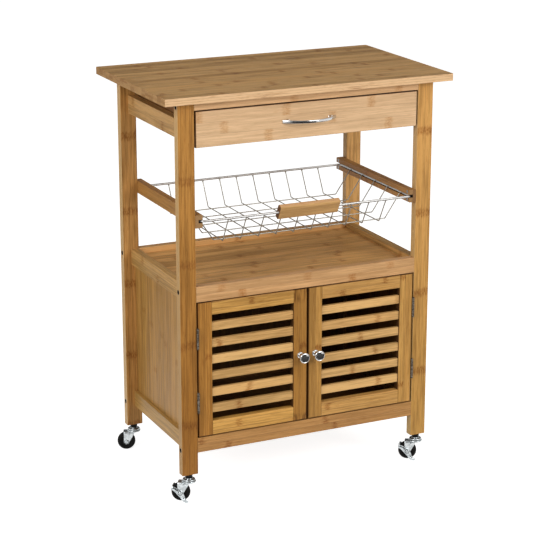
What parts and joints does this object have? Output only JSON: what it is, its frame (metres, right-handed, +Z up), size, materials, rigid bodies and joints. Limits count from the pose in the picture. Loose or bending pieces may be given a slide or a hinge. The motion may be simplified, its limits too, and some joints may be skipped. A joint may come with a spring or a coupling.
{
  "type": "kitchen trolley",
  "caption": "Bamboo kitchen trolley on swivel casters, with a flat top, a drawer, a pull-out wire basket, a tray shelf and a cupboard behind slatted doors.",
  "frame": {"origin": "centre of the bounding box at the floor", "axes": "+X to the right seen from the front, -Y towards the front with the drawer and doors, +Z up"},
  "size_m": [0.645, 0.393, 0.86],
  "materials": {
    "bamboo_pale": "satin lacquer, pale strips",
    "bamboo_honey": "satin lacquer, honey strips",
    "bamboo_caramel": "satin lacquer, caramel strips",
    "chrome": "polished",
    "zinc": "bright zinc plate",
    "black_tread": "matt black",
    "black_plastic": "matt black"
  },
  "bodies": {
    "frame": {"table_top": "bamboo_pale", "leg_front_left": "bamboo_honey", "leg_front_right": "bamboo_honey", "leg_back_left": "bamboo_honey", "leg_back_right": "bamboo_honey", "upper_rail_left": "bamboo_pale", "upper_rail_right": "bamboo_pale", "tray_rail_left": "bamboo_honey", "tray_rail_right": "bamboo_honey", "bottom_rail_left": "bamboo_pale", "bottom_rail_right": "bamboo_pale", "side_panel_left": "bamboo_honey", "side_panel_right": "bamboo_honey", "top_rail_front": "bamboo_pale", "top_rail_back": "bamboo_honey", "tray_rim_front": "bamboo_pale", "tray_rim_back": "bamboo_honey", "apron_front": "bamboo_pale", "apron_back": "bamboo_honey", "tray_floor": "bamboo_caramel", "cupboard_floor": "bamboo_caramel", "back_panel": "bamboo_caramel", "drawer_strip_left": "bamboo_honey", "drawer_strip_right": "bamboo_honey", "basket_runner_left": "bamboo_honey", "basket_runner_right": "bamboo_honey", "frame_screws": "zinc", "frame_dowels": "bamboo_pale", "hinge_frame_leaves": "zinc", "door_catches": "black_plastic", "caster_stems": "zinc"},
    "drawer": {"drawer_front": "bamboo_pale", "drawer_side_left": "bamboo_pale", "drawer_side_right": "bamboo_pale", "drawer_back": "bamboo_pale", "drawer_bottom": "bamboo_caramel", "drawer_handle": "chrome"},
    "basket": {"basket_rim": "chrome", "basket_long_wires": "chrome", "basket_cross_wires": "chrome", "basket_grip": "bamboo_honey"},
    "door_left": {"door_left_frame": "bamboo_honey", "door_left_slats": "bamboo_pale", "door_left_knob": "chrome", "door_left_leaves": "zinc"},
    "door_right": {"door_right_frame": "bamboo_honey", "door_right_slats": "bamboo_pale", "door_right_knob": "chrome", "door_right_leaves": "zinc"},
    "caster_front_left": {"fork_front_left": "zinc"},
    "wheel_front_left": {"wheel_front_left": "black_tread"},
    "caster_back_left": {"fork_back_left": "zinc"},
    "wheel_back_left": {"wheel_back_left": "black_tread"},
    "caster_front_right": {"fork_front_right": "zinc"},
    "wheel_front_right": {"wheel_front_right": "black_tread"},
    "caster_back_right": {"fork_back_right": "zinc"},
    "wheel_back_right": {"wheel_back_right": "black_tread"},
    "brake_front_left": {"brake_front_left": "zinc"},
    "brake_front_right": {"brake_front_right": "zinc"}
  },
  "joints": [
    {"name": "drawer_slide", "type": "slide", "parent": "frame", "child": "drawer", "axis": [0, -1, 0], "range_m": [0, 0.24]},
    {"name": "basket_slide", "type": "slide", "parent": "frame", "child": "basket", "axis": [0, -1, 0], "range_m": [0, 0.25]},
    {"name": "door_left_hinge", "type": "hinge", "parent": "frame", "child": "door_left", "pos_m": [-0.2505, -0.17169, 0.286], "axis": [0, 0, -1], "range_deg": [0, 170]},
    {"name": "door_right_hinge", "type": "hinge", "parent": "frame", "child": "door_right", "pos_m": [0.2505, -0.17169, 0.286], "axis": [0, 0, 1], "range_deg": [0, 170]},
    {"name": "swivel_front_left", "type": "hinge", "parent": "frame", "child": "caster_front_left", "pos_m": [-0.26975, -0.16025, 0.045], "axis": [0, 0, 1], "continuous": true},
    {"name": "wheel_front_left_spin", "type": "hinge", "parent": "caster_front_left", "child": "wheel_front_left", "pos_m": [-0.28447, -0.15175, 0.02], "axis": [-0.5, -0.866, 0], "continuous": true},
    {"name": "brake_front_left_turn", "type": "hinge", "parent": "caster_front_left", "child": "brake_front_left", "pos_m": [-0.28447, -0.15175, 0.02], "axis": [-0.5, -0.866, 0], "range_deg": [0, 12]},
    {"name": "swivel_back_left", "type": "hinge", "parent": "frame", "child": "caster_back_left", "pos_m": [-0.26975, 0.15725, 0.045], "axis": [0, 0, 1], "continuous": true},
    {"name": "wheel_back_left_spin", "type": "hinge", "parent": "caster_back_left", "child": "wheel_back_left", "pos_m": [-0.28592, 0.1625, 0.02], "axis": [-0.309, -0.9511, 0], "continuous": true},
    {"name": "swivel_front_right", "type": "hinge", "parent": "frame", "child": "caster_front_right", "pos_m": [0.26975, -0.16025, 0.045], "axis": [0, 0, 1], "continuous": true},
    {"name": "wheel_front_right_spin", "type": "hinge", "parent": "caster_front_right", "child": "wheel_front_right", "pos_m": [0.25503, -0.15175, 0.02], "axis": [-0.5, -0.866, 0], "continuous": true},
    {"name": "brake_front_right_turn", "type": "hinge", "parent": "caster_front_right", "child": "brake_front_right", "pos_m": [0.25503, -0.15175, 0.02], "axis": [-0.5, -0.866, 0], "range_deg": [0, 12]},
    {"name": "swivel_back_right", "type": "hinge", "parent": "frame", "child": "caster_back_right", "pos_m": [0.26975, 0.15725, 0.045], "axis": [0, 0, 1], "continuous": true},
    {"name": "wheel_back_right_spin", "type": "hinge", "parent": "caster_back_right", "child": "wheel_back_right", "pos_m": [0.25358, 0.1625, 0.02], "axis": [-0.309, -0.9511, 0], "continuous": true}
  ]
}
